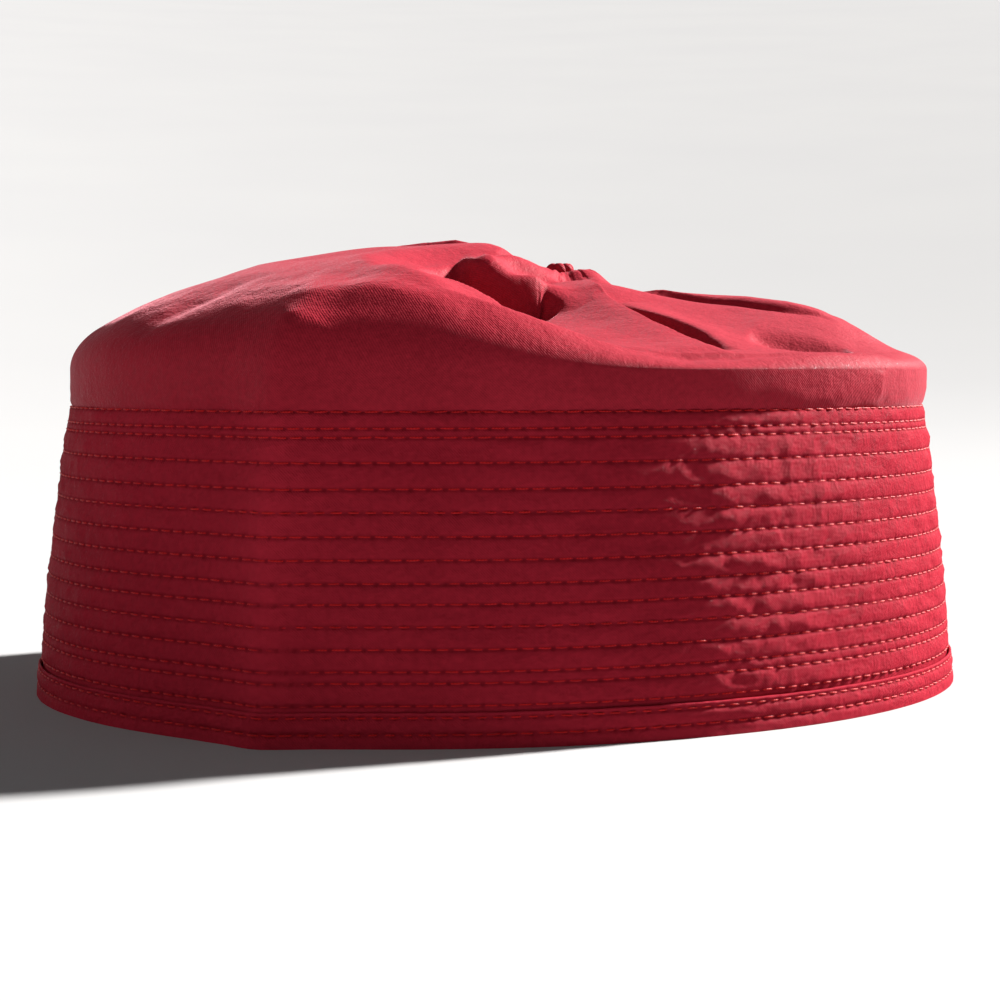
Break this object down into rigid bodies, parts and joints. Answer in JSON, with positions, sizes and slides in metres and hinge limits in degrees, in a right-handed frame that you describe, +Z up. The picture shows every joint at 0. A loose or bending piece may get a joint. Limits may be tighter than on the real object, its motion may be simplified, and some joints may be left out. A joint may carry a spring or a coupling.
{
  "type": "kufi cap",
  "caption": "Brimless round cap with a stiff quilted band, a turned-up hem and a soft crown pleated into a small knot.",
  "frame": {"origin": "middle of the rim, on the surface that the cap stands on", "axes": "+X along the long way of the oval rim, +Z up through the crown"},
  "size_m": [0.2, 0.17, 0.095],
  "materials": {
    "quilted_cotton": "sateen cotton, machine quilted",
    "soft_cotton": "sateen cotton",
    "red_thread": "twisted sewing thread"
  },
  "bodies": {
    "root": {"band": "quilted_cotton", "hem": "quilted_cotton", "crown": "soft_cotton", "crown_knot": "soft_cotton"}
  },
  "joints": []
}
